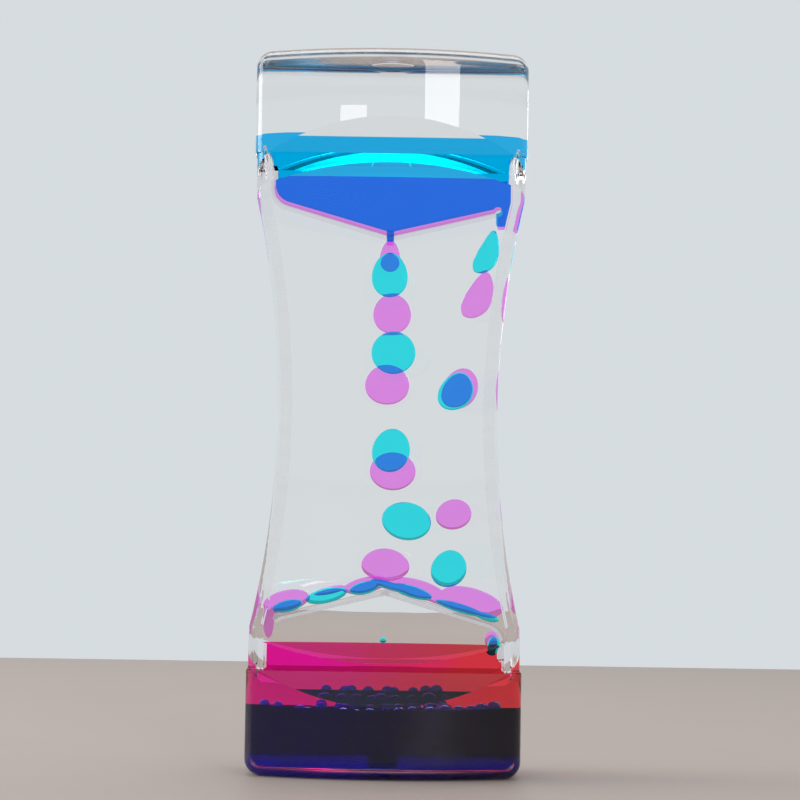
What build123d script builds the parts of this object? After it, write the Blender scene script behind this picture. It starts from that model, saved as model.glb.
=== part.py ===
from build123d import *
import math
import os

# A liquid motion timer: a clear waisted housing in two shells and two end cups, split by a
# divider into a front and a rear chamber. Each chamber has an upper and a lower ramp with a
# drip hole, and dyed water falls through clear oil in drops: blue in front, pink behind.
# Lengths are in millimetres and angles in degrees. Z is up, X is to the right and the front
# faces -Y. The origin is the middle of the base.

# Overall form
overall_height = 135.0
end_width = 51.0
end_depth = 33.0
face_radius = 58.0
corner_radius = 3.2
rim_radius = 3.2

# End cups
cup_height = 19.5
cup_wall = 1.8
cup_floor = 2.2
floor_fillet = 1.4

# Waisted body between the cups; the margins are straight lengths beyond the waist's arc
seam_step = 0.35
side_wall = 2.8
waist_margin = 8.0
waist_inset = 4.65
lip_height = 1.4
fit_clearance = 0.1
glue_gap = 0.05
body_corner_radius = 1.8

# Scooped windows at front and back, a margin short of each end face
scoop_margin = 13.2
scoop_slope = 37.0
window_setback = 5.8
window_radius = 95.0
window_wall = 2.6

# Divider between the two chambers
divider_thickness = 1.4
divider_corner = 1.2

# Filler plugs
plug_head_radius = 3.4
plug_head_height = 0.9
plug_recess = 0.2
plug_shank_radius = 2.3
plug_shank_length = 2.6
plug_chamfer = 0.3

# Ramps, as the upper one lies; the lower one is the same turned over. The apex and the top of
# the leg are placed by their drop below the body's top.
ramp_thickness = 0.8
ramp_apex_drop = 13.9
wall_arm_slope = 16.5
free_arm_slope = 14.0
ramp_bend_radius = 3.7
ramp_leg_drop = 1.9
free_end_gap = 2.0
ramp_bead_radius = 0.7
drip_hole_radius = 0.8
ramp_clearance = 0.05

# Liquids: the upper levels are depths below the top face, the lower ones heights
oil_film = 0.15
blue_upper_depth = 15.8
pink_upper_depth = 22.5
blue_lower_level = 12.8
pink_lower_level = 24.0
gap_neck_length = 3.4
hole_neck_length = 0.9

# Drops, as thick discs pressed between window and divider
drop_width = 7.6
drop_gap = 0.3
drop_thickness_share = 0.6
drop_bevel_share = 0.225
teardrop_radius = 1.85
teardrop_length = 4.9
teardrop_neck_share = 0.3

# Drops that have landed and spread on the lower ramps
puddle_height = 2.6
puddle_thickness_share = 0.54

# Falling drops: place across as a share of the waist's inner half width, height as a share of
# the fall from the upper to the lower apex, and width and height as shares of drop_width.
blue_centre_shares = (
    (0.00, 0.881, 0.86, 1.09),
    (0.05, 0.666, 1.06, 1.04),
    (0.04, 0.397, 0.91, 1.07),
    (0.21, 0.203, 1.18, 0.94),
)
blue_side_shares = (
    (0.70, 0.563, 0.86, 0.93),
)
pink_centre_shares = (
    (0.03, 0.779, 0.90, 0.98),
    (-0.01, 0.582, 1.05, 0.99),
    (0.06, 0.341, 1.09, 0.95),
)
pink_side_shares = (
    (0.73, 0.574, 0.90, 1.02),
    (0.69, 0.224, 0.85, 0.76),
)
# Drops just let go at the upper ramps' free ends, in the same shares
blue_release_shares = (1.00, 0.950, 0.64, 1.06)
pink_release_shares = (0.905, 0.836, 0.78, 1.15)
# Drops about to merge on the lower ramps, in the same shares
blue_landing_shares = (0.655, 0.075, 0.86, 0.91)
pink_landing_shares = (0.00, 0.082, 1.14, 0.80)

# Puddles: middle along the lower ramp and length as shares of its half span, and height as a
# share of puddle_height. A puddle that crosses the apex has one row for each arm.
blue_puddle_shares = (
    (-0.80, 0.28, 0.90),
    (-0.46, 0.34, 1.00),
    (-0.11, 0.36, 0.90),
    (0.20, 0.48, 0.95),
    (0.76, 0.44, 1.05),
)
pink_puddle_shares = (
    (-0.80, 0.36, 1.45),
    (-0.42, 0.32, 0.90),
    (-0.10, 0.34, 0.55),
    (0.34, 0.40, 1.20),
    (0.70, 0.52, 1.50),
)

# Allowance by which cutting solids overrun what they cut
overrun = 4.0

mid_height = overall_height / 2
body_top = overall_height - cup_height
waist_length = body_top - cup_height - 2 * waist_margin
scoop_length = overall_height - 2 * scoop_margin
body_half = end_width / 2 - seam_step
lip_thickness = window_wall - cup_wall - fit_clearance
chamber_start = divider_thickness / 2
inner_half = body_half - side_wall
waist_inner_half = inner_half - waist_inset
slope_run = math.tan(math.radians(scoop_slope))
slope_across = math.sin(math.radians(scoop_slope))
wall_run = math.tan(math.radians(wall_arm_slope))
free_run = math.tan(math.radians(free_arm_slope))
ramp_apex_height = body_top - ramp_apex_drop
ramp_leg_top = body_top - ramp_leg_drop
lower_apex_height = overall_height - ramp_apex_height
fall_height = ramp_apex_height - lower_apex_height
free_end_x = inner_half - free_end_gap - ramp_bead_radius
chamber_depth = end_depth / 2 - window_setback - window_wall - chamber_start
drop_thickness = drop_thickness_share * chamber_depth
puddle_thickness = puddle_thickness_share * chamber_depth

os.makedirs("parts", exist_ok=True)


def save(shape, node):
    export_step(shape, os.path.join("parts", node + ".step"))


def along_y(sketch, low, high):
    """A sketch drawn as X and Z, extruded between two depths."""
    return Pos(0, high, 0) * extrude(Plane.XZ * sketch, high - low)


def block(low, high):
    """A box between two corners."""
    size = [b - a for a, b in zip(low, high)]
    return Pos(*low) * Box(*size, align=(Align.MIN, Align.MIN, Align.MIN))


def turned_over(shape):
    """The same shape turned over about the middle, as from the upper to the lower end."""
    return Pos(0, 0, overall_height) * (Rot(0, 180, 0) * shape)


def end_plan(inset):
    """The plan of the end cups: straight sides, crowned front and back, rounded corners."""
    half = end_width / 2 - inset
    radius = face_radius - inset
    depth = end_depth / 2 - inset
    corner = depth - (radius - math.sqrt(radius**2 - half**2))
    outline = [
        Line((half, -corner), (half, corner)),
        ThreePointArc((half, corner), (0, depth), (-half, corner)),
        Line((-half, corner), (-half, -corner)),
        ThreePointArc((-half, -corner), (0, -depth), (half, -corner)),
    ]
    plan = make_face(outline)
    return fillet(plan.vertices(), max(corner_radius - inset, corner_radius / 3))


def end_column(inset, low, high):
    """The end plan raised between two heights."""
    return Pos(0, 0, low) * extrude(end_plan(inset), high - low)


def waist_outline(inset, low, high):
    """The front view of the body: straight ends, and sides drawn in along an arc."""
    half = body_half - inset
    bottom = mid_height - waist_length / 2
    top = mid_height + waist_length / 2
    waist = half - waist_inset
    outline = [
        Line((half, low), (half, bottom)),
        ThreePointArc((half, bottom), (waist, mid_height), (half, top)),
        Line((half, top), (half, high)),
        Line((half, high), (-half, high)),
        Line((-half, high), (-half, top)),
        ThreePointArc((-half, top), (-waist, mid_height), (-half, bottom)),
        Line((-half, bottom), (-half, low)),
        Line((-half, low), (half, low)),
    ]
    return make_face(outline)


def window_floor(wall, side):
    """The crowned floor of a window, as a tall round solid that reaches to it."""
    centre = side * (end_depth / 2 - window_setback - window_radius)
    return Pos(0, centre, mid_height) * Cylinder(window_radius - wall, overall_height)


def window_prism(wall, side):
    """The room in front of the housing's middle, closed by the scoop's sloped ends."""
    face = end_depth / 2
    reach = face - chamber_start
    crown = scoop_length / 2 + wall / slope_across
    outer = crown + overrun / slope_run
    inner = crown - reach / slope_run
    profile = Polyline(
        (side * (face + overrun), mid_height - outer),
        (side * (face + overrun), mid_height + outer),
        (side * (face - reach), mid_height + inner),
        (side * (face - reach), mid_height - inner),
        close=True,
    )
    half = end_width / 2 + overrun
    return extrude(Plane.YZ * make_face(profile), half, both=True)


def scooped(solid, wall):
    """Cuts both windows, set deeper by a wall, into a solid."""
    for side in (-1, 1):
        solid = solid - (window_prism(wall, side) - window_floor(wall, side))
    return solid


def cup_cavity(film):
    """The inside of both end cups, as one tall solid."""
    low = cup_floor + film
    column = end_column(cup_wall + film, low, overall_height - low)
    ends = column.faces().sort_by(Axis.Z)
    column = fillet(ends[0].edges() + ends[-1].edges(), floor_fillet)
    return scooped(column, window_wall + film)


def body_cavity(film):
    """The inside of the waisted body, open at both ends."""
    low = cup_height - film
    high = overall_height - low
    column = end_column(window_wall + film, low, high)
    outline = waist_outline(side_wall + film, low, high)
    depth = end_depth / 2
    return scooped(column & along_y(outline, -depth, depth), window_wall + film)


def chamber(side, film):
    """The room for liquid in front of the divider, side -1, or behind it, side 1."""
    half = end_width / 2
    near = chamber_start + film
    far = end_depth / 2
    low, high = (-far, -near) if side < 0 else (near, far)
    seam = cup_height - film
    ends = cup_cavity(film)
    for lip in seam_lips(film):
        ends -= lip
    bottom = ends & block((-half, low, 0), (half, high, seam))
    top = ends & block((-half, low, overall_height - seam), (half, high, overall_height))
    middle = body_cavity(film) & block((-half, low, seam), (half, high, overall_height - seam))
    return bottom + middle + top


def body_wall():
    """The waisted body before it is split: its outer form less its inside."""
    depth = end_depth / 2
    waisted = along_y(waist_outline(0, cup_height, body_top), -depth, depth)
    ends = waisted & end_column(seam_step, cup_height, body_top)
    core = waisted
    for side in (-1, 1):
        ends -= window_prism(0, side)
        core &= window_floor(0, side)
    upright = [e for e in core.edges() if abs(e.tangent_at(0.5).Z) > abs(e.tangent_at(0.5).X)]
    core = fillet(upright, body_corner_radius)
    return core + ends - body_cavity(0)


def seam_lips(film):
    """Low lips on the body's ends that locate the cups, grown inwards by a film."""
    inset = cup_wall + fit_clearance
    height = lip_height + film
    lips = []
    for low in (cup_height - height, body_top):
        ring = end_column(inset, low, low + height)
        ring -= end_column(inset + lip_thickness + film, low, low + height)
        lips.append(scooped(ring, window_wall + fit_clearance))
    return lips


def shells():
    """The front and rear shells, which are glued to the divider."""
    wall = body_wall()
    for lip in seam_lips(0):
        wall += lip
    half = end_width / 2
    near = chamber_start + glue_gap
    far = end_depth / 2
    front = wall & block((-half, -far, 0), (half, -near, overall_height))
    rear = wall & block((-half, near, 0), (half, far, overall_height))
    return front, rear


def divider():
    """The plate between the chambers: the body's outline, and a tongue into each cup."""
    plate = along_y(waist_outline(0, cup_height, body_top), -chamber_start, chamber_start)
    tongue_half = end_width / 2 - cup_wall - fit_clearance
    tongue_low = cup_floor + fit_clearance
    tongue = Rectangle(2 * tongue_half, overall_height - 2 * tongue_low)
    tongue = Pos(0, mid_height) * fillet(tongue.vertices(), divider_corner)
    tongue = along_y(tongue, -chamber_start, chamber_start)
    half = end_width / 2
    middle = block((-half, -chamber_start, cup_height), (half, chamber_start, body_top))
    return plate + (tongue - middle)


def plug_places():
    """Depth and height of each filler plug: rear chamber at the top, front one below."""
    offset = (chamber_start + end_depth / 2 - cup_wall) / 2
    return (offset, overall_height - plug_recess), (-offset, plug_recess)


def plug(height, upwards, clearance):
    """A stepped round plug, or with a clearance the hole for it, open to the outside."""
    head_height = plug_head_height + clearance
    shank_length = plug_shank_length + clearance
    head = Pos(0, 0, -head_height / 2) * Cylinder(plug_head_radius + clearance, head_height)
    shank = Cylinder(plug_shank_radius + clearance, shank_length)
    shank = Pos(0, 0, -head_height - shank_length / 2) * shank
    body = head + shank
    if clearance:
        mouth = Cylinder(plug_head_radius + clearance, 2 * plug_recess)
        body += Pos(0, 0, plug_recess) * mouth
    else:
        tip = body.faces().sort_by(Axis.Z)[0]
        body = chamfer(tip.edges(), plug_chamfer)
    if not upwards:
        body = Rot(180, 0, 0) * body
    return Pos(0, 0, height) * body


def cups():
    """The top and bottom cups, each with one filler hole."""
    solid = end_column(0, 0, overall_height)
    ends = solid.faces().sort_by(Axis.Z)
    solid = fillet(ends[0].edges() + ends[-1].edges(), rim_radius)
    solid = scooped(solid, 0) - cup_cavity(0)
    (top_y, top_z), (bottom_y, bottom_z) = plug_places()
    solid -= Pos(0, top_y, 0) * plug(top_z, True, fit_clearance)
    solid -= Pos(0, bottom_y, 0) * plug(bottom_z, False, fit_clearance)
    half = end_width / 2
    far = end_depth / 2
    top = solid & block((-half, -far, body_top + glue_gap), (half, far, overall_height))
    bottom = solid & block((-half, -far, 0), (half, far, cup_height - glue_gap))
    return top, bottom


def ramp_line(drop):
    """Corners of the upper ramp's bent line, lowered square to itself by a distance."""
    wall_fall = drop / math.cos(math.radians(wall_arm_slope))
    free_fall = drop / math.cos(math.radians(free_arm_slope))
    leg = -(inner_half - ramp_clearance - ramp_thickness) - drop
    corner = ramp_apex_height - wall_fall - leg * wall_run
    apex_x = (free_fall - wall_fall) / (wall_run + free_run)
    apex_z = ramp_apex_height - wall_fall - apex_x * wall_run
    end_x = free_end_x + drop * math.sin(math.radians(free_arm_slope))
    end_z = ramp_apex_height + end_x * free_run - free_fall
    return (leg, ramp_leg_top), (leg, corner), (apex_x, apex_z), (end_x, end_z)


def ramp_section(drop_top, drop_bottom, bead):
    """The ramp between two lowered lines, with a bead round its free end."""
    top = ramp_line(drop_top)
    bottom = ramp_line(drop_bottom)
    outline = [
        FilletPolyline(*top[:3], radius=ramp_bend_radius + drop_top),
        Line(top[2], top[3]),
        Line(top[3], bottom[3]),
        Line(bottom[3], bottom[2]),
        FilletPolyline(*bottom[:3], radius=ramp_bend_radius + drop_bottom),
        Line(bottom[0], top[0]),
    ]
    end = [(a + b) / 2 for a, b in zip(top[3], bottom[3])]
    return make_face(outline) + Pos(*end) * Circle(bead)


def ramp(side, upper):
    """One ramp across its chamber, with a drip hole through its apex."""
    depth = end_depth / 2
    solid = along_y(ramp_section(0, ramp_thickness, ramp_bead_radius), -depth, depth)
    solid = solid & chamber(side, ramp_clearance)
    hole = Cylinder(drip_hole_radius, overrun)
    solid -= Pos(0, side * chamber_middle(), ramp_apex_height) * hole
    return solid if upper else turned_over(solid)


def chamber_middle():
    """Distance from the housing's middle to that of either chamber, at the windows."""
    return chamber_start + chamber_depth / 2


def upper_pool(side, level):
    """Liquid above the upper ramp, running down into the gap at its free end."""
    half = end_width / 2
    depth = end_depth / 2
    neck_length = ramp_thickness + oil_film + hole_neck_length
    pool = chamber(side, oil_film)
    pool &= block((-half, -depth, ramp_apex_height), (half, depth, level))
    top = ramp_line(-oil_film)
    end_x, end_z = top[3]
    under = [
        FilletPolyline(*top[:3], radius=ramp_bend_radius - oil_film),
        Line(top[2], top[3]),
        Line(top[3], (end_x, 0)),
        Line((end_x, 0), (-half, 0)),
        Line((-half, 0), (-half, ramp_leg_top)),
        Line((-half, ramp_leg_top), top[0]),
    ]
    pool -= along_y(make_face(under), -depth, depth)
    pool -= block((end_x, -depth, 0), (half, depth, end_z - gap_neck_length))
    bead = Pos(*ramp_line(ramp_thickness / 2)[3]) * Circle(ramp_bead_radius + oil_film)
    pool -= along_y(bead, -depth, depth)
    neck = Cylinder(drip_hole_radius - oil_film, 2 * neck_length)
    return pool + Pos(0, side * chamber_middle(), ramp_apex_height) * neck


def lower_pool(side, level):
    """Liquid that has gathered in the bottom cup."""
    half = end_width / 2
    depth = end_depth / 2
    pool = chamber(side, oil_film) & block((-half, -depth, 0), (half, depth, level))
    fixed = along_y(ramp_section(-oil_film, ramp_thickness + oil_film, ramp_bead_radius), -depth, depth)
    pool -= turned_over(fixed)
    if side < 0:
        bottom_y, bottom_z = plug_places()[1]
        pool -= Pos(0, bottom_y, 0) * plug(bottom_z, False, fit_clearance + oil_film)
    return pool


def flat_drop(side, shares):
    """A falling drop: a thick elliptical disc with a bevelled rim, beside the divider."""
    across, up, wide, tall = shares
    face = Pos(across * waist_inner_half, lower_apex_height + up * fall_height)
    face = face * Ellipse(wide * drop_width / 2, tall * drop_width / 2)
    near = chamber_start + drop_gap
    far = near + drop_thickness
    low, high = (-far, -near) if side < 0 else (near, far)
    disc = along_y(face, low, high)
    return chamfer(disc.edges().filter_by(GeomType.ELLIPSE), drop_bevel_share * drop_thickness)


def hanging_drop(side):
    """A drop that swells under the upper drip hole, round about a vertical axis."""
    radius = teardrop_radius
    neck = radius * teardrop_neck_share
    top = ramp_apex_height - ramp_thickness - hole_neck_length - 2 * oil_film
    centre = top - teardrop_length + radius
    lean = math.asin((radius - neck) / (top - centre))
    shoulder = (radius * math.cos(lean), centre + radius * math.sin(lean))
    side_angle = lean / 2 - math.pi / 4
    belly = (radius * math.cos(side_angle), centre + radius * math.sin(side_angle))
    outline = [
        Line((0, centre - radius), (0, top)),
        Line((0, top), (neck, top)),
        Line((neck, top), shoulder),
        ThreePointArc(shoulder, belly, (0, centre - radius)),
    ]
    drop = revolve(Plane.XZ * make_face(outline), Axis.Z)
    return Pos(0, side * chamber_middle(), 0) * drop


def ramp_top(x):
    """Height of the lower ramp's upper surface at a place across."""
    (_, _), (_, _), apex, _ = ramp_line(ramp_thickness)
    run = free_run if x < 0 else wall_run
    return overall_height - apex[1] - abs(x) * run


def puddles(side, rows):
    """Spread drops that lie on a lower ramp."""
    near = chamber_start + drop_gap
    far = near + puddle_thickness
    low, high = (-far, -near) if side < 0 else (near, far)
    solids = []
    for middle, length, height in rows:
        x = middle * free_end_x
        slope = free_arm_slope if x < 0 else -wall_arm_slope
        half_height = height * puddle_height / 2
        lift = (half_height + oil_film) / math.cos(math.radians(slope))
        half_length = length * free_end_x / 2
        oval = Rot(0, 0, slope) * Ellipse(half_length, half_height)
        solids.append(along_y(Pos(x, ramp_top(x) + lift) * oval, low, high))
    joined = solids[0]
    for solid in solids[1:]:
        joined += solid
    return joined


front, rear = shells()
top_cup, bottom_cup = cups()
save(front, "front_shell")
save(rear, "rear_shell")
save(divider(), "divider_plate")
save(top_cup, "top_cup")
save(bottom_cup, "bottom_cup")
(top_y, top_z), (bottom_y, bottom_z) = plug_places()
save(Pos(0, top_y, 0) * plug(top_z, True, 0), "top_filler_plug")
save(Pos(0, bottom_y, 0) * plug(bottom_z, False, 0), "bottom_filler_plug")

for side, place in ((-1, "front"), (1, "rear")):
    save(ramp(side, True), "upper_" + place + "_ramp")
    save(ramp(side, False), "lower_" + place + "_ramp")

save(upper_pool(-1, overall_height - blue_upper_depth), "upper_blue_liquid")
save(upper_pool(1, overall_height - pink_upper_depth), "upper_pink_liquid")
save(lower_pool(-1, blue_lower_level), "lower_blue_liquid")
save(lower_pool(1, pink_lower_level), "lower_pink_liquid")
save(hanging_drop(1), "pink_hanging_drop")
save(puddles(-1, blue_puddle_shares), "blue_puddles")
save(puddles(1, pink_puddle_shares), "pink_puddles")
save(flat_drop(-1, blue_release_shares), "blue_release_drop")
save(flat_drop(1, pink_release_shares), "pink_release_drop")
save(flat_drop(-1, blue_landing_shares), "blue_landing_drop")
save(flat_drop(1, pink_landing_shares), "pink_landing_drop")

streams = (
    ("blue_centre_drop", -1, blue_centre_shares),
    ("blue_side_drop", -1, blue_side_shares),
    ("pink_centre_drop", 1, pink_centre_shares),
    ("pink_side_drop", 1, pink_side_shares),
)
for name, side, rows in streams:
    for number, shares in enumerate(rows, 1):
        save(flat_drop(side, shares), name + "_" + str(number))
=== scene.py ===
import math
import random

import bmesh
import bpy
from bpy.props import FloatProperty, FloatVectorProperty, IntProperty, PointerProperty
from mathutils import Matrix, Vector
from mathutils.bvhtree import BVHTree


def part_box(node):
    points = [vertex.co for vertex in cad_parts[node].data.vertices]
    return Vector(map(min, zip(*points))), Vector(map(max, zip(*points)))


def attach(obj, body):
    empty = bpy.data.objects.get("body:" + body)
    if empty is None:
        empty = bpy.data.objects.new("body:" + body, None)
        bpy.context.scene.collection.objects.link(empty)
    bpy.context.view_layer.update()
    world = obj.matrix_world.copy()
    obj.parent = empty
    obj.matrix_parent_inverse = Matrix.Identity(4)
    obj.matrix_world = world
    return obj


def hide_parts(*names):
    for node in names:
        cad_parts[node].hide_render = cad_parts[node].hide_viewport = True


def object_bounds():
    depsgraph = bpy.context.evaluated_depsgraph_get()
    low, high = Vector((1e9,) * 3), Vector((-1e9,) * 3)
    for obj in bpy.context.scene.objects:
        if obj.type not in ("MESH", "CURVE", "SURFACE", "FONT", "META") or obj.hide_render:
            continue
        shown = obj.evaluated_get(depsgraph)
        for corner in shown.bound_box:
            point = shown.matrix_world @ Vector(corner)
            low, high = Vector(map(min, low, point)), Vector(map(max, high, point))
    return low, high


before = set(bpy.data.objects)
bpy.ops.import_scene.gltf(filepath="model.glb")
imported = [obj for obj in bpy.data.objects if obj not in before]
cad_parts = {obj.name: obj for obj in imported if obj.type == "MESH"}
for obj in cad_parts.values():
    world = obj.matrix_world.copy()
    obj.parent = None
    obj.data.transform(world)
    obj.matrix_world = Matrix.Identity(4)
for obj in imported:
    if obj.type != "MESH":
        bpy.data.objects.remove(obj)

bl_info = {
    "name": "Liquid motion timer",
    "version": (1, 0, 0),
    "blender": (4, 5, 0),
    "location": "View3D > Sidebar > Timer",
    "description": "Dresses a clear waisted timer with coloured water, drops and a small studio",
    "category": "Object",
}

cad_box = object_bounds()
mm = 0.001

CLEAR_NODES = (
    "front_shell",
    "rear_shell",
    "divider_plate",
    "top_cup",
    "bottom_cup",
    "top_filler_plug",
    "bottom_filler_plug",
)
UPPER_RAMPS = ("upper_front_ramp", "upper_rear_ramp")
LOWER_RAMPS = ("lower_front_ramp", "lower_rear_ramp")
SHELL_NODES = ("front_shell", "rear_shell")
CUP_NODES = ("top_cup", "bottom_cup")

# The material slots of a clear node, by what its faces meet or where they lie.
AIR, OIL, SEAM, WINDOW, RIM = range(5)

# How many spots of each pattern there are to a metre, and how deep its bumps are at full strength.
RIPPLES_PER_METRE = 70.0
SPECKS_PER_METRE = 900.0
PATCHES_PER_METRE = 400.0
SWIRLS_PER_METRE = 160.0
GRAINS_PER_METRE = 30.0
RIPPLE_DEPTH = 0.4 * mm
SWIRL_DEPTH = 0.2 * mm
GRAIN_DEPTH = 0.5 * mm

# Each lamp's name, place, width and height in metres, and power in watts.
LAMP_TARGET = (0.0, 0.0, 0.07)
LAMPS = (
    ("left softbox", (-0.85, 0.1, 0.5), 0.6, 0.7, 7.0),
    ("right softbox", (0.34, -0.95, 0.485), 0.26, 0.4, 2.3),
    ("top softbox", (0.0, 0.15, 0.9), 0.8, 0.6, 4.0),
)

# Each drop: its CAD node, the body it rides on, how much narrower and how far to the right each
# ninth of its height is than the one below it, as shares, and the dye of its water.
DROP_SHARES = (
    ("blue_centre_drop_1", "blue_centre_stream", 0.025, 0.0, "blue"),
    ("blue_centre_drop_2", "blue_centre_stream", 0.0, 0.0, "blue"),
    ("blue_centre_drop_3", "blue_centre_stream", 0.01, 0.008, "blue"),
    ("blue_centre_drop_4", "blue_centre_stream", 0.0, -0.01, "blue"),
    ("blue_side_drop_1", "blue_side_stream", 0.03, 0.025, "blue"),
    ("blue_release_drop", "timer", 0.1, 0.07, "blue"),
    ("blue_landing_drop", "timer", 0.015, 0.01, "blue"),
    ("pink_centre_drop_1", "pink_centre_stream", 0.01, 0.0, "pink"),
    ("pink_centre_drop_2", "pink_centre_stream", 0.01, 0.0, "pink"),
    ("pink_centre_drop_3", "pink_centre_stream", 0.0, 0.0, "pink"),
    ("pink_side_drop_1", "pink_side_stream", 0.02, 0.025, "pink"),
    ("pink_side_drop_2", "pink_side_stream", 0.01, 0.01, "pink"),
    ("pink_release_drop", "timer", 0.07, 0.06, "pink"),
    ("pink_landing_drop", "timer", 0.02, -0.005, "pink"),
    ("pink_hanging_drop", "timer", 0.05, 0.0, "pink"),
)

# Puddles along the lower ramps: middle and length as shares of the ramp's free arm, and height
# and extra lift as shares of the usual height.
BLUE_PUDDLE_SHARES = (
    (-0.856, 0.28, 0.85, 0.0),
    (-0.504, 0.38, 1.05, 0.0),
    (-0.17, 0.27, 0.90, 0.0),
    (0.02, 0.34, 0.55, 0.1),
    (0.22, 0.38, 0.85, 0.0),
    (0.66, 0.46, 0.62, 0.0),
    (0.91, 0.22, 0.55, 0.0),
)
PINK_PUDDLE_SHARES = (
    (-0.85, 0.42, 1.55, -0.05),
    (-0.93, 0.20, 1.30, 0.0),
    (-0.46, 0.30, 0.55, 0.5),
    (-0.15, 0.40, 1.15, 0.0),
    (0.04, 0.36, 0.80, 0.0),
    (0.27, 0.50, 1.35, 0.0),
    (0.60, 0.80, 0.85, 0.0),
    (0.74, 0.58, 1.90, 0.0),
)

# Drops beside or under the lower ramps: place across from the apex and width as shares of the
# ramp's free arm, and place down from the apex and height as shares of the ramp's drop.
BLUE_END_SHARES = (
    (0.985, 0.78, 0.12, 0.28),
    (-0.01, 0.72, 0.06, 0.08),
)
PINK_END_SHARES = (
    (-1.03, 0.43, 0.10, 0.60),
    (0.955, 0.70, 0.13, 0.25),
)


class PlasticSettings(bpy.types.PropertyGroup):
    """How the clear housing bends and tints light."""

    outside_bend: FloatProperty(
        name="Outside bend", description="Index of refraction against air", default=1.47
    )
    wetted_bend: FloatProperty(
        name="Wetted bend", description="Index of refraction against the oil", default=1.008
    )
    wet_ramp_bend: FloatProperty(
        name="Wet ramp bend", description="Index of refraction of the ramps under water",
        default=1.0005
    )
    ramp_bend: FloatProperty(
        name="Ramp bend", description="Index of refraction of the ramps against the oil",
        default=1.004
    )
    window_bow: FloatProperty(
        name="Window bow", description="Lean of the window floors, in radians for each metre "
        "below the middle", default=1.2
    )
    tint: FloatVectorProperty(
        name="Tint", description="Colour of the clear plastic", subtype="COLOR",
        default=(0.995, 0.99, 0.985)
    )
    rim_haze: FloatProperty(
        name="Rim haze", description="Greatest roughness of the cups' flat ends and rounded rims",
        default=0.3
    )
    # Painted shade: the warm grey of the cups' flat ends and rounded rims stands in for the darker
    # surroundings that they reflect and refract.
    rim_painted_shade: FloatVectorProperty(
        name="Rim painted shade", description="Painted shade of the cups' flat ends and rounded rims",
        subtype="COLOR", default=(0.95, 0.92, 0.905)
    )
    seam_tint: FloatVectorProperty(
        name="Seam tint", description="Colour of the glued seams and the ramps", subtype="COLOR",
        default=(0.96, 0.95, 0.955)
    )


class WaterSettings(bpy.types.PropertyGroup):
    """How the dyed water bends and tints light; each colour is what passes right through, except the
    glow colours, which are painted light at the foot.
    """

    drop_bend: FloatProperty(
        name="Drop bend", description="Index of refraction of a drop against the oil", default=0.965
    )
    bead_bend: FloatProperty(
        name="Bead bend", description="Index of refraction of a bead against the oil", default=0.92
    )
    pool_bend: FloatProperty(
        name="Pool bend", description="Index of refraction of a pool against the oil", default=0.9995
    )
    blue_drop: FloatVectorProperty(
        name="Blue drop", description="Light through a blue drop", subtype="COLOR",
        default=(0.02, 0.93, 1.0)
    )
    pink_drop: FloatVectorProperty(
        name="Pink drop", description="Light through a pink drop", subtype="COLOR",
        default=(1.0, 0.34, 1.0)
    )
    blue_top: FloatVectorProperty(
        name="Upper blue", description="Light through the upper blue water", subtype="COLOR",
        default=(0.001, 0.56, 1.0)
    )
    pink_top: FloatVectorProperty(
        name="Upper pink", description="Light through the upper pink water", subtype="COLOR",
        default=(1.0, 0.36, 1.0)
    )
    blue_base: FloatVectorProperty(
        name="Lower blue", description="Light through the lower blue water", subtype="COLOR",
        default=(0.002, 0.003, 0.2)
    )
    pink_base: FloatVectorProperty(
        name="Lower pink", description="Light through the lower pink water on the left",
        subtype="COLOR", default=(1.0, 0.015, 0.38)
    )
    red_base: FloatVectorProperty(
        name="Lower red", description="Light through the lower pink water on the right",
        subtype="COLOR", default=(0.95, 0.05, 0.07)
    )
    # Painted glow: the lower blue water is painted lighter near its foot.
    blue_painted_glow: FloatVectorProperty(
        name="Blue painted glow", description="Painted glow of the lower blue water at its foot",
        subtype="COLOR", default=(0.01, 0.03, 0.6)
    )
    bead: FloatVectorProperty(
        name="Beads", description="Light through the small drops on the lower blue water",
        subtype="COLOR", default=(0.05, 0.3, 0.95)
    )
    # Painted glow: the lower pink water is painted lighter near its foot.
    pink_painted_glow: FloatVectorProperty(
        name="Pink painted glow", description="Painted glow of the lower pink water at its foot",
        subtype="COLOR", default=(1.0, 0.15, 0.8)
    )
    # How far up the base the painted glow reaches.
    painted_glow_height: FloatProperty(
        name="Painted glow height", description="How far up the base the painted glow reaches", unit="LENGTH",
        default=5.5 * mm
    )


class DropSettings(bpy.types.PropertyGroup):
    """Sizes of the drops, puddles and beads that the CAD boxes don't give."""

    rounding: FloatProperty(
        name="Rounding", description="Radius of a drop's rim", unit="LENGTH", default=1.0 * mm
    )
    puddle_height: FloatProperty(
        name="Puddle height", description="Usual height of a puddle", unit="LENGTH",
        default=2.6 * mm
    )
    neck_reach: FloatProperty(
        name="Neck reach", description="How far the hanging drop goes up round its neck",
        unit="LENGTH", default=1.1 * mm
    )
    skin_step: FloatProperty(
        name="Skin step", description="Size of the steps by which puddles are melted together",
        unit="LENGTH", default=0.18 * mm
    )
    film: FloatProperty(
        name="Oil film", description="Oil under a puddle, and between a bead and the walls",
        unit="LENGTH", default=0.15 * mm
    )
    bead_count: IntProperty(
        name="Beads", description="Small drops in the front row on the lower blue water", default=17
    )
    bead_radius: FloatProperty(
        name="Bead radius", description="Greatest radius of a small drop near the middle",
        unit="LENGTH", default=1.45 * mm
    )
    back_row_share: FloatProperty(
        name="Back row share", description="Share of the width that the back rows of beads take",
        default=0.55
    )
    wall_radius: FloatProperty(
        name="Wall radius", description="Radius of the base's crowned front wall, inside",
        unit="LENGTH", default=56.0 * mm
    )


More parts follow.
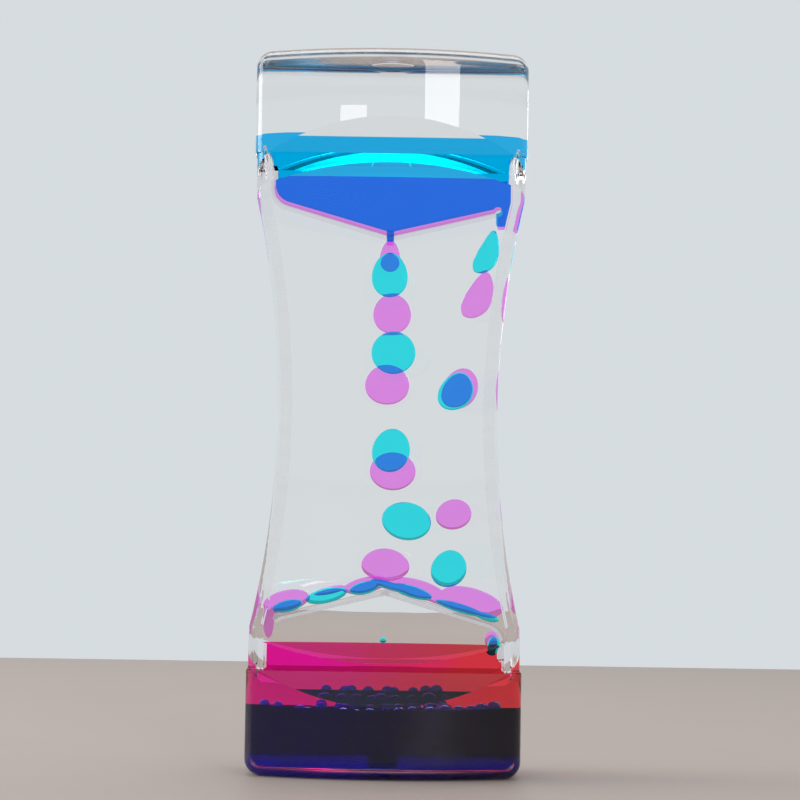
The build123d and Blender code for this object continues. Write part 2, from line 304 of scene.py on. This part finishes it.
class StageSettings(bpy.types.PropertyGroup):
    """The camera's place and the studio's colours."""

    eye_distance: FloatProperty(
        name="Eye distance", description="From the camera to the timer's axis", unit="LENGTH",
        default=0.4697
    )
    eye_height: FloatProperty(
        name="Eye height", description="Camera's height above the floor", unit="LENGTH",
        default=0.042
    )
    eye_pitch: FloatProperty(
        name="Eye pitch", description="Degrees by which the camera looks up", default=3.45
    )
    eye_turn: FloatProperty(
        name="Eye turn", description="Degrees by which the camera turns to the left", default=-0.28
    )
    eye_roll: FloatProperty(
        name="Eye roll", description="Degrees by which the camera leans over", default=0.87
    )
    lens: FloatProperty(name="Lens", description="Focal length in millimetres", default=111.6)
    sensor_width: FloatProperty(
        name="Sensor width", description="Width of the camera's sensor in millimetres",
        default=36.0
    )
    backdrop: FloatVectorProperty(
        name="Backdrop", description="Colour behind the timer", subtype="COLOR",
        default=(0.672, 0.716, 0.745)
    )
    floor: FloatVectorProperty(
        name="Floor", description="Colour of the floor", subtype="COLOR",
        default=(0.34, 0.285, 0.255)
    )
    sky_strength: FloatProperty(
        name="Sky strength", description="Soft light from all round", default=0.55
    )
    floor_reach: FloatProperty(
        name="Floor reach", description="From the timer to the floor's far edge", unit="LENGTH",
        default=0.45
    )
    floor_drop: FloatProperty(
        name="Floor drop", description="Hair's breadth between the timer and the floor",
        unit="LENGTH", default=0.03 * mm
    )


class Value:
    """A shader socket that Python's arithmetic signs turn into Math nodes."""

    def __init__(self, finish, socket):
        self.finish = finish
        self.socket = socket

    def worked(self, operation, first, second):
        return self.finish.node("Math", {"operation": operation}, {0: first, 1: second})

    def __add__(self, other):
        return self.worked("ADD", self, other)

    def __sub__(self, other):
        return self.worked("SUBTRACT", self, other)

    def __rsub__(self, other):
        return self.worked("SUBTRACT", other, self)

    def __mul__(self, other):
        return self.worked("MULTIPLY", self, other)

    __radd__ = __add__
    __rmul__ = __mul__


class Finish:
    """A material being made, node by node."""

    def __init__(self, name):
        self.material = bpy.data.materials.new(name)
        self.material.use_nodes = True
        self.tree = self.material.node_tree
        self.tree.nodes.clear()

    def node(self, kind, settings=None, sockets=None, output=0):
        made = self.tree.nodes.new("ShaderNode" + kind)
        for name, value in (settings or {}).items():
            setattr(made, name, value)
        for name, value in (sockets or {}).items():
            if isinstance(value, Value):
                self.tree.links.new(value.socket, made.inputs[name])
            else:
                made.inputs[name].default_value = value
        return Value(self, made.outputs[output]) if len(made.outputs) else None

    def place(self):
        return self.node("TexCoord", output="Object")

    def noise(self, scale, detail):
        return self.node(
            "TexNoise", sockets={"Vector": self.place(), "Scale": scale, "Detail": detail}
        )

    def across(self):
        return self.node("SeparateXYZ", sockets={0: self.place()}, output="X")

    def height(self):
        return self.node("SeparateXYZ", sockets={0: self.place()}, output="Z")

    def mix(self, share, first, second):
        return self.node("Mix", {"data_type": "RGBA"}, {0: share, 6: first, 7: second}, output=2)

    def bump(self, height, strength, distance, normal=None):
        sockets = {"Height": height, "Strength": strength, "Distance": distance}
        if normal:
            sockets["Normal"] = normal
        return self.node("Bump", sockets=sockets)

    def done(self, shader):
        self.node("OutputMaterial", sockets={"Surface": shader})
        return self.material


def opaque(colour):
    return (*colour, 1.0)


def passed_once(colour):
    """The tint of one surface of a piece whose two surfaces together pass this colour."""
    return tuple(math.sqrt(share) for share in colour)


def bowed_normal(finish, bow):
    """The normal of a window that flares below the waist, on the side that light meets."""
    middle = (cad_box[0][2] + cad_box[1][2]) / 2
    straight = finish.node("NewGeometry", output="Normal")
    back = finish.node("NewGeometry", output="Backfacing")
    below = finish.node("Math", {"operation": "MAXIMUM"}, {0: middle - finish.height(), 1: 0.0})
    lean = below * bow * (1 - 2 * back)
    lift = finish.node("CombineXYZ", sockets={"Z": lean})
    leaned = finish.node("VectorMath", {"operation": "ADD"}, {0: straight, 1: lift})
    return finish.node("VectorMath", {"operation": "NORMALIZE"}, {0: leaned})


def clear_finish(name, bend, tint, ripple, haze, bow=0.0):
    """Clear moulded plastic with slow ripples and a fine haze."""
    finish = Finish(name)
    ripples = finish.noise(RIPPLES_PER_METRE, 2.0)
    specks = finish.noise(SPECKS_PER_METRE, 3.0)
    normal = bowed_normal(finish, bow) if bow else None
    glass = finish.node("BsdfGlass", sockets={
        "Color": opaque(tint),
        "Roughness": specks * haze,
        "IOR": bend,
        "Normal": finish.bump(ripples, ripple, RIPPLE_DEPTH, normal),
    })
    return finish.done(glass)


def seam_finish(name, tint):
    """A glued seam: light passes straight through it and loses a little, unevenly."""
    finish = Finish(name)
    patches = finish.noise(PATCHES_PER_METRE, 2.0)
    shade = finish.mix(patches, opaque(tint), (1.0, 1.0, 1.0, 1.0))
    return finish.done(finish.node("BsdfTransparent", sockets={"Color": shade}))


def water_finish(name, bend, colour, ripple, right=None, foot=None, painted_glow_reach=0.0):
    """Dyed water: it tints what passes, a little unevenly, and its surface ripples faintly.

    Its colour may turn to another one on the right, and to a lighter one at its foot, which is a
    painted glow.
    """
    deepening = 1.12
    cloudiness = 0.004
    turning_shares = (-0.6, 0.8)
    finish = Finish(name)
    swirl = finish.noise(SWIRLS_PER_METRE, 2.0)
    tint = passed_once(colour)
    deeper = tuple(share**deepening for share in tint)
    shade = finish.mix(swirl, opaque(tint), opaque(deeper))
    if right:
        half_width = cad_box[1][0]
        side = finish.node("MapRange", {"interpolation_type": "SMOOTHSTEP"}, {
            "Value": finish.across() + (swirl - 0.5) * half_width,
            "From Min": turning_shares[0] * half_width,
            "From Max": turning_shares[1] * half_width,
        })
        shade = finish.mix(side, shade, opaque(passed_once(right)))
    # Painted glow: the colour turns lighter towards the foot of the water.
    if foot:
        depth = finish.node("MapRange", {"interpolation_type": "SMOOTHSTEP"}, {
            "Value": finish.height() + swirl * (painted_glow_reach / 3),
            "From Min": painted_glow_reach,
            "From Max": painted_glow_reach / 3,
        })
        shade = finish.mix(depth, shade, opaque(passed_once(foot)))
    glass = finish.node("BsdfGlass", sockets={
        "Color": shade,
        "Roughness": swirl * cloudiness,
        "IOR": bend,
        "Normal": finish.bump(swirl, ripple, SWIRL_DEPTH),
    })
    return finish.done(glass)


def clear_selection():
    if bpy.context.object and bpy.context.object.mode != "OBJECT":
        bpy.ops.object.mode_set(mode="OBJECT")
    bpy.ops.object.select_all(action="DESELECT")


def select_faces(piece, wanted):
    """In edit mode, selects just the faces for which wanted is true."""
    mesh = bmesh.from_edit_mesh(piece.data)
    for face in mesh.faces:
        face.select_set(False)
    for face in mesh.faces:
        if wanted(face):
            face.select_set(True)
    bmesh.update_edit_mesh(piece.data)


def select_points(piece, wanted):
    """In edit mode, selects just the vertices for which wanted is true."""
    mesh = bmesh.from_edit_mesh(piece.data)
    mesh.select_mode = {"VERT"}
    for face in mesh.faces:
        face.select_set(False)
    for point in mesh.verts:
        point.select_set(wanted(point.co))
    mesh.select_flush_mode()
    bmesh.update_edit_mesh(piece.data)


def surface_tree(names):
    """A search tree over the faces of some CAD nodes."""
    points = []
    faces = []
    for name in names:
        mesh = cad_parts[name].data
        start = len(points)
        points += [point.co.copy() for point in mesh.vertices]
        faces += [[start + corner for corner in face.vertices] for face in mesh.polygons]
    return BVHTree.FromPolygons(points, faces)


def dress_clear_node(name, finishes):
    """Gives each face of a clear node the finish for air, oil, a seam, a window or a rim.

    The shells' shoulders face the air, but as plain glass they look black in small patches at
    their corners, so they get the seam's finish, through which light passes straight.
    """
    skin = 0.15 * mm
    turned = 0.5
    facing = 0.9
    rim_reach = 6.0 * mm
    bottom, top = cad_box[0][2], cad_box[1][2]
    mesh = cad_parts[name].data
    mesh.materials.clear()
    for slot in (AIR, OIL, SEAM, WINDOW, RIM):
        mesh.materials.append(finishes[slot])
    neighbours = surface_tree([other for other in CLEAR_NODES if other != name])
    everything = surface_tree(CLEAR_NODES)
    for face in mesh.polygons:
        start = face.center - face.normal * skin
        touching = neighbours.ray_cast(start, face.normal, 2 * skin)[0]
        enclosed = everything.ray_cast(face.center + face.normal * skin, face.normal)[0]
        near_end = min(face.center.z - bottom, top - face.center.z) < rim_reach
        if touching:
            face.material_index = SEAM
        elif enclosed:
            face.material_index = OIL
        elif name in SHELL_NODES and abs(face.normal.z) > turned:
            face.material_index = SEAM
        elif name in SHELL_NODES and abs(face.normal.y) > facing:
            face.material_index = WINDOW
        elif name in CUP_NODES and near_end and abs(face.normal.z) > turned:
            face.material_index = RIM
        else:
            face.material_index = AIR


def dress_node(name, material):
    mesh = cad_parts[name].data
    mesh.materials.clear()
    mesh.materials.append(material)


def finish_piece(piece, material, body):
    """Smooths a piece, gives it its finish and lets it ride on its body."""
    clear_selection()
    piece.select_set(True)
    bpy.context.view_layer.objects.active = piece
    bpy.ops.object.transform_apply(location=True, rotation=True, scale=True)
    bpy.ops.object.shade_smooth()
    piece.data.materials.clear()
    piece.data.materials.append(material)
    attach(piece, body)


def fit_piece(piece, middle, size):
    """Scales and moves a piece so that it fills a box."""
    clear_selection()
    piece.select_set(True)
    bpy.context.view_layer.objects.active = piece
    piece.scale = [wanted / now for wanted, now in zip(size, piece.dimensions)]
    bpy.ops.object.transform_apply(location=True, rotation=True, scale=True)
    corners = [Vector(corner) for corner in piece.bound_box]
    piece.location = Vector(middle) - sum(corners, Vector()) / len(corners)
    bpy.ops.object.transform_apply(location=True, rotation=False, scale=False)


def add_flat_drop(name, middle, size, rounding, narrowing=0.0, drift=0.0, lean=0.0):
    """A drop flattened between window and divider: round, or narrower towards its top."""
    blank = 1.0
    sides = 40
    bevel_steps = 4
    deepest_share = 0.45
    widest_share = 0.3
    inset_share = 0.1
    levels = 9
    finer = 4
    width, depth, height = size
    span = max(width, height)
    clear_selection()
    bpy.ops.mesh.primitive_cylinder_add(
        vertices=sides, radius=blank / 2, depth=blank, rotation=(math.pi / 2, 0.0, 0.0)
    )
    drop = bpy.context.object
    drop.name = name
    bpy.ops.object.transform_apply(location=False, rotation=True, scale=False)
    fit_piece(drop, (0.0, 0.0, 0.0), (span, depth, span))
    bpy.ops.object.mode_set(mode="EDIT")
    select_faces(drop, lambda face: abs(face.normal.y) > 0.9)
    reach = min(rounding, deepest_share * depth, widest_share * span)
    bpy.ops.mesh.bevel(offset=reach, segments=bevel_steps, affect="EDGES")
    select_faces(drop, lambda face: abs(face.normal.y) > 0.99)
    bpy.ops.mesh.inset(thickness=inset_share * rounding)
    if narrowing or drift:
        for step in range(levels * finer):
            start = (step / (levels * finer) - 0.5) * span
            select_points(drop, lambda place: place.z > start)
            bpy.ops.transform.resize(
                value=((1 - narrowing) ** (1 / finer), 1.0, 1.0),
                center_override=(0.0, 0.0, 0.0),
            )
            bpy.ops.transform.translate(value=(drift * span / finer, 0.0, 0.0))
    bpy.ops.object.mode_set(mode="OBJECT")
    fit_piece(drop, (0.0, 0.0, 0.0), size)
    drop.rotation_euler = (0.0, math.radians(lean), 0.0)
    bpy.ops.object.transform_apply(location=False, rotation=True, scale=False)
    fit_piece(drop, middle, drop.dimensions)
    return drop


class TIMER_OT_clear_parts(bpy.types.Operator):
    """Give the housing, its seams and the ramps their clear plastic"""

    bl_idname = "timer.clear_parts"
    bl_label = "Clear parts"

    def execute(self, context):
        plastic = context.scene.timer_plastic
        outside, tint, seam_tint = plastic.outside_bend, plastic.tint, plastic.seam_tint
        finishes = {
            AIR: clear_finish("clear outside", outside, tint, ripple=0.03, haze=0.01),
            OIL: clear_finish(
                "clear wetted", plastic.wetted_bend, (1.0, 1.0, 1.0), ripple=0.05, haze=0.0
            ),
            SEAM: seam_finish("glued seam", seam_tint),
            WINDOW: clear_finish(
                "clear window", outside, tint, ripple=0.03, haze=0.01, bow=plastic.window_bow
            ),
            # The rims' warm grey tint is painted shade; their haze is real roughness.
            RIM: clear_finish(
                "clear rim", outside, plastic.rim_painted_shade, ripple=0.03, haze=plastic.rim_haze
            ),
        }
        wet_ramp = clear_finish(
            "wet ramp", plastic.wet_ramp_bend, seam_tint, ripple=0.1, haze=0.0
        )
        ramp = clear_finish("clear ramp", plastic.ramp_bend, seam_tint, ripple=0.1, haze=0.01)
        for name in CLEAR_NODES:
            dress_clear_node(name, finishes)
        for name in UPPER_RAMPS:
            dress_node(name, wet_ramp)
        for name in LOWER_RAMPS:
            dress_node(name, ramp)
        return {"FINISHED"}


class TIMER_OT_pools(bpy.types.Operator):
    """Dye the water above the upper ramps and in the base"""

    bl_idname = "timer.pools"
    bl_label = "Pools"

    def execute(self, context):
        water = context.scene.timer_water
        # foot is how far up the painted glow reaches in the lower pools.
        blue, pink, foot = water.blue_base, water.pink_base, water.painted_glow_height
        finishes = {
            "upper_blue_liquid": self.pool_finish("upper blue water", water, water.blue_top),
            "upper_pink_liquid": self.pool_finish("upper pink water", water, water.pink_top),
            "lower_blue_liquid": self.pool_finish(
                "lower blue water", water, blue, None, water.blue_painted_glow, foot
            ),
            "lower_pink_liquid": self.pool_finish(
                "lower pink water", water, pink, water.red_base, water.pink_painted_glow, foot
            ),
        }
        for node, finish in finishes.items():
            dress_node(node, finish)
        return {"FINISHED"}

    def pool_finish(self, name, water, colour, *changes):
        ripple = 0.05
        return water_finish(name, water.pool_bend, colour, ripple, *changes)


class TIMER_OT_drops(bpy.types.Operator):
    """Model the drops on their way down"""

    bl_idname = "timer.drops"
    bl_label = "Falling drops"

    def execute(self, context):
        water = context.scene.timer_water
        sizes = context.scene.timer_drops
        ripple = 0.03
        finishes = {
            "blue": water_finish("blue drop water", water.drop_bend, water.blue_drop, ripple),
            "pink": water_finish("pink drop water", water.drop_bend, water.pink_drop, ripple),
        }
        for node, body, narrowing, drift, dye in DROP_SHARES:
            low, high = (Vector(corner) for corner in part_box(node))
            if node == "pink_hanging_drop":
                high.z += sizes.neck_reach
            drop = add_flat_drop(
                node.replace("_drop", "_drop_water"), (low + high) / 2, high - low,
                sizes.rounding, narrowing, drift
            )
            finish_piece(drop, finishes[dye], body)
            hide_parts(node)
        return {"FINISHED"}


class TIMER_OT_puddles(bpy.types.Operator):
    """Model the drops that have spread along the lower ramps"""

    bl_idname = "timer.puddles"
    bl_label = "Puddles"

    def execute(self, context):
        water = context.scene.timer_water
        sizes = context.scene.timer_drops
        rows = (
            ("blue", "lower_front_ramp", BLUE_PUDDLE_SHARES, BLUE_END_SHARES, water.blue_drop),
            ("pink", "lower_rear_ramp", PINK_PUDDLE_SHARES, PINK_END_SHARES, water.pink_drop),
        )
        for dye, ramp, puddle_shares, end_shares, colour in rows:
            node = dye + "_puddles"
            low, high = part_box(node)
            depth = high[1] - low[1]
            middle_y = (low[1] + high[1]) / 2
            blobs = []
            for shares in puddle_shares:
                blobs.append(add_puddle(ramp, shares, depth, middle_y, sizes))
            for shares in end_shares:
                blobs.append(add_end_drop(ramp, shares, depth, middle_y, sizes))
            clear_selection()
            for blob in blobs:
                blob.select_set(True)
            bpy.context.view_layer.objects.active = blobs[0]
            bpy.ops.object.join()
            blobs[0].name = dye + "_puddle_water"
            melt_together(blobs[0], sizes.skin_step)
            material = water_finish(
                dye + " puddle water", water.drop_bend, colour, ripple=0.03
            )
            finish_piece(blobs[0], material, "timer")
            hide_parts(node)
        return {"FINISHED"}


def melt_together(piece, step):
    """Gives overlapping blobs one smooth skin."""
    skin = piece.modifiers.new("skin", "REMESH")
    skin.mode = "VOXEL"
    skin.voxel_size = step
    bpy.ops.object.modifier_apply(modifier=skin.name)
    soft = piece.modifiers.new("soft", "SMOOTH")
    soft.factor = 0.5
    soft.iterations = 5
    bpy.ops.object.modifier_apply(modifier=soft.name)


def ramp_surface(ramp, across):
    """Height of a lower ramp's upper surface at a place across, and its slope there."""
    tree = surface_tree([ramp])
    low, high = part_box(ramp)
    behind_middle = 1.5 * mm
    clearance = 10 * mm
    start = Vector((across, (low[1] + high[1]) / 2 + behind_middle, high[2] + clearance))
    hit, normal, _, _ = tree.ray_cast(start, Vector((0, 0, -1)))
    return hit.z, math.atan2(normal.x, normal.z)


def add_puddle(ramp, shares, depth, middle_y, sizes):
    """One spread drop, lying on the ramp."""
    middle, length, height, lift = shares
    arm = -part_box(ramp)[0][0]
    across = middle * arm
    tall = height * sizes.puddle_height
    surface, slope = ramp_surface(ramp, across)
    rise = tall / 2 + sizes.film + lift * sizes.puddle_height
    centre = (across + rise * math.sin(slope), middle_y, surface + rise * math.cos(slope))
    return add_flat_drop(
        "puddle", centre, (length * arm, depth, tall), sizes.rounding, lean=math.degrees(slope)
    )


def add_end_drop(ramp, shares, depth, middle_y, sizes):
    """One drop beside or under the ramp."""
    across, down, wide, tall = shares
    low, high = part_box(ramp)
    arm = -low[0]
    fall = high[2] - low[2]
    centre = (across * arm, middle_y, high[2] - down * fall)
    return add_flat_drop(
        "end drop", centre, (wide * arm, depth, tall * fall), sizes.rounding, narrowing=0.02
    )


def add_bead():
    """A small drop with a radius of one, a little flattened above and below."""
    foot = -0.3
    crown = 0.7
    foot_shares = (0.96, 0.96, 0.9)
    crown_shares = (1.03, 1.03, 0.95)
    clear_selection()
    bpy.ops.mesh.primitive_uv_sphere_add(segments=20, ring_count=12, radius=1.0)
    bead = bpy.context.object
    bpy.ops.object.mode_set(mode="EDIT")
    select_points(bead, lambda place: place.z < foot)
    bpy.ops.transform.resize(value=foot_shares, center_override=(0.0, 0.0, foot))
    select_points(bead, lambda place: place.z > crown)
    bpy.ops.transform.resize(value=crown_shares, center_override=(0.0, 0.0, crown))
    bpy.ops.object.mode_set(mode="OBJECT")
    return bead


class TIMER_OT_beads(bpy.types.Operator):
    """Model the small drops that rest on the lower blue water and haven't merged yet"""

    bl_idname = "timer.beads"
    bl_label = "Beads"

    def execute(self, context):
        water = context.scene.timer_water
        sizes = context.scene.timer_drops
        seed = 4
        rows = 3
        scatter_shares = (0.2, 0.8)
        dice = random.Random(seed)
        model = add_bead()
        beads = []
        for row in range(rows):
            for number in range(sizes.bead_count):
                along = (number + dice.uniform(*scatter_shares)) / sizes.bead_count * 2 - 1
                if row == 0 or abs(along) < sizes.back_row_share:
                    beads.append(self.copy_bead(context, model, sizes, dice, row, along))
        bpy.data.objects.remove(model)
        clear_selection()
        for bead in beads:
            bead.select_set(True)
        bpy.context.view_layer.objects.active = beads[0]
        bpy.ops.object.transform_apply(location=True, rotation=True, scale=True)
        bpy.ops.object.join()
        beads[0].name = "lower_blue_beads"
        material = water_finish("bead water", water.bead_bend, water.bead, ripple=0.02)
        finish_piece(beads[0], material, "timer")
        return {"FINISHED"}

    def copy_bead(self, context, model, sizes, dice, row, along):
        """Row 0 lies along the front wall, row 1 behind it and row 2 along the divider.

        Beads are larger and higher near the side walls, and the left front ones nearly merged.
        """
        smallest_share = 0.65
        growth_share = 0.25
        climb_share = 0.9
        row_share = 0.35
        jitter_share = 0.15
        merged_share = 0.95
        resting_share = 0.5
        merged_from = -0.8
        low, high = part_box("lower_blue_liquid")
        crowding = abs(along) ** 3
        radius = sizes.bead_radius * dice.uniform(smallest_share, 1.0 + growth_share * crowding)
        across = along * (high[0] - radius - sizes.film)
        crown = across**2 / (2 * sizes.wall_radius)
        front = low[1] + crown + radius + sizes.film
        back = high[1] - radius - sizes.film
        deep = front + (back - front) * row / 2
        merged = row == 0 and merged_from < along < 0.0
        sunk = merged_share if merged else resting_share
        jitter = dice.uniform(-jitter_share, jitter_share)
        lift = (climb_share * crowding - sunk + row_share * row + jitter) * radius
        bead = bpy.data.objects.new("bead", model.data.copy())
        context.collection.objects.link(bead)
        bead.location = (across, deep, high[2] + lift)
        bead.scale = (radius, radius, radius)
        return bead


def add_softbox(name, place, width, height, power):
    """A soft rectangular lamp aimed at the timer, which the camera doesn't see."""
    lamp = bpy.data.lights.new(name, "AREA")
    lamp.shape = "RECTANGLE"
    lamp.size = width
    lamp.size_y = height
    lamp.energy = power
    holder = bpy.data.objects.new(name, lamp)
    bpy.context.collection.objects.link(holder)
    holder.location = place
    aim = Vector(LAMP_TARGET) - Vector(place)
    holder.rotation_euler = aim.to_track_quat("-Z", "Y").to_euler()
    holder.visible_camera = False


class TIMER_OT_stage(bpy.types.Operator):
    """Set up the floor, backdrop, lamps and camera"""

    bl_idname = "timer.stage"
    bl_label = "Stage"

    def execute(self, context):
        stage = context.scene.timer_stage
        context.scene.view_settings.view_transform = "Standard"
        most_bounces = 40
        context.scene.cycles.max_bounces = most_bounces
        context.scene.cycles.transmission_bounces = most_bounces
        context.scene.cycles.transparent_max_bounces = most_bounces
        self.add_floor(stage)
        self.add_backdrop(context, stage)
        self.add_lamps()
        self.add_camera(context, stage)
        return {"FINISHED"}

    def add_floor(self, stage):
        front = 1.5
        width = 3.0
        darker_share = 0.94
        clear_selection()
        bpy.ops.mesh.primitive_plane_add(
            size=1.0, location=(0.0, (stage.floor_reach - front) / 2, -stage.floor_drop)
        )
        floor = bpy.context.object
        floor.name = "floor"
        floor.scale = (width, stage.floor_reach + front, 1.0)
        bpy.ops.object.transform_apply(location=True, rotation=False, scale=True)
        finish = Finish("floor paint")
        grain = finish.noise(GRAINS_PER_METRE, 4.0)
        darker = [darker_share * share for share in stage.floor]
        shade = finish.mix(grain, opaque(stage.floor), opaque(darker))
        paint = finish.node("BsdfPrincipled", sockets={
            "Base Color": shade,
            "Roughness": 0.55,
            "Normal": finish.bump(grain, 0.05, GRAIN_DEPTH),
        })
        floor.data.materials.append(finish.done(paint))

    def add_backdrop(self, context, stage):
        world = bpy.data.worlds.new("studio")
        context.scene.world = world
        world.use_nodes = True
        tree = world.node_tree
        tree.nodes.clear()
        path = tree.nodes.new("ShaderNodeLightPath")
        seen = path.outputs["Is Camera Ray"]
        for ray in ("Is Glossy Ray", "Is Transmission Ray"):
            either = tree.nodes.new("ShaderNodeMath")
            either.operation = "MAXIMUM"
            tree.links.new(seen, either.inputs[0])
            tree.links.new(path.outputs[ray], either.inputs[1])
            seen = either.outputs[0]
        soft = tree.nodes.new("ShaderNodeBackground")
        soft.inputs["Color"].default_value = (1.0, 1.0, 1.0, 1.0)
        soft.inputs["Strength"].default_value = stage.sky_strength
        wall = tree.nodes.new("ShaderNodeBackground")
        wall.inputs["Color"].default_value = opaque(stage.backdrop)
        wall.inputs["Strength"].default_value = 1.0
        mixed = tree.nodes.new("ShaderNodeMixShader")
        tree.links.new(seen, mixed.inputs[0])
        tree.links.new(soft.outputs[0], mixed.inputs[1])
        tree.links.new(wall.outputs[0], mixed.inputs[2])
        output = tree.nodes.new("ShaderNodeOutputWorld")
        tree.links.new(mixed.outputs[0], output.inputs["Surface"])

    def add_lamps(self):
        """Plain softboxes at the left, at the front right and above."""
        for name, place, width, height, power in LAMPS:
            add_softbox(name, place, width, height, power)

    def add_camera(self, context, stage):
        nearest = 10 * mm
        camera = bpy.data.objects.new("camera", bpy.data.cameras.new("camera"))
        context.collection.objects.link(camera)
        camera.data.lens = stage.lens
        camera.data.sensor_width = stage.sensor_width
        camera.data.clip_start = nearest
        camera.location = (0.0, -stage.eye_distance, stage.eye_height)
        aim = Matrix.Rotation(math.radians(stage.eye_turn), 4, "Z")
        aim @= Matrix.Rotation(math.radians(90 + stage.eye_pitch), 4, "X")
        aim @= Matrix.Rotation(math.radians(stage.eye_roll), 4, "Z")
        camera.rotation_euler = aim.to_euler()
        context.scene.camera = camera


class TIMER_PT_panel(bpy.types.Panel):
    """Lists the timer's steps and settings"""

    bl_label = "Liquid motion timer"
    bl_idname = "TIMER_PT_panel"
    bl_space_type = "VIEW_3D"
    bl_region_type = "UI"
    bl_category = "Timer"

    def draw(self, context):
        for step in STEPS:
            self.layout.operator(step.bl_idname)
        for group in SETTINGS:
            settings = getattr(context.scene, group)
            self.layout.label(text=settings.bl_rna.name)
            for name in settings.__annotations__:
                self.layout.prop(settings, name)


SETTINGS = {
    "timer_plastic": PlasticSettings,
    "timer_water": WaterSettings,
    "timer_drops": DropSettings,
    "timer_stage": StageSettings,
}
STEPS = (
    TIMER_OT_clear_parts,
    TIMER_OT_pools,
    TIMER_OT_drops,
    TIMER_OT_puddles,
    TIMER_OT_beads,
    TIMER_OT_stage,
)


def register():
    for settings in SETTINGS.values():
        bpy.utils.register_class(settings)
    for step in STEPS:
        bpy.utils.register_class(step)
    bpy.utils.register_class(TIMER_PT_panel)
    for name, settings in SETTINGS.items():
        setattr(bpy.types.Scene, name, PointerProperty(type=settings))


def unregister():
    for name in SETTINGS:
        delattr(bpy.types.Scene, name)
    bpy.utils.unregister_class(TIMER_PT_panel)
    for step in reversed(STEPS):
        bpy.utils.unregister_class(step)
    for settings in SETTINGS.values():
        bpy.utils.unregister_class(settings)


def main():
    register()
    for step in STEPS:
        group, name = step.bl_idname.split(".")
        getattr(getattr(bpy.ops, group), name)()


if __name__ == "__main__":
    main()
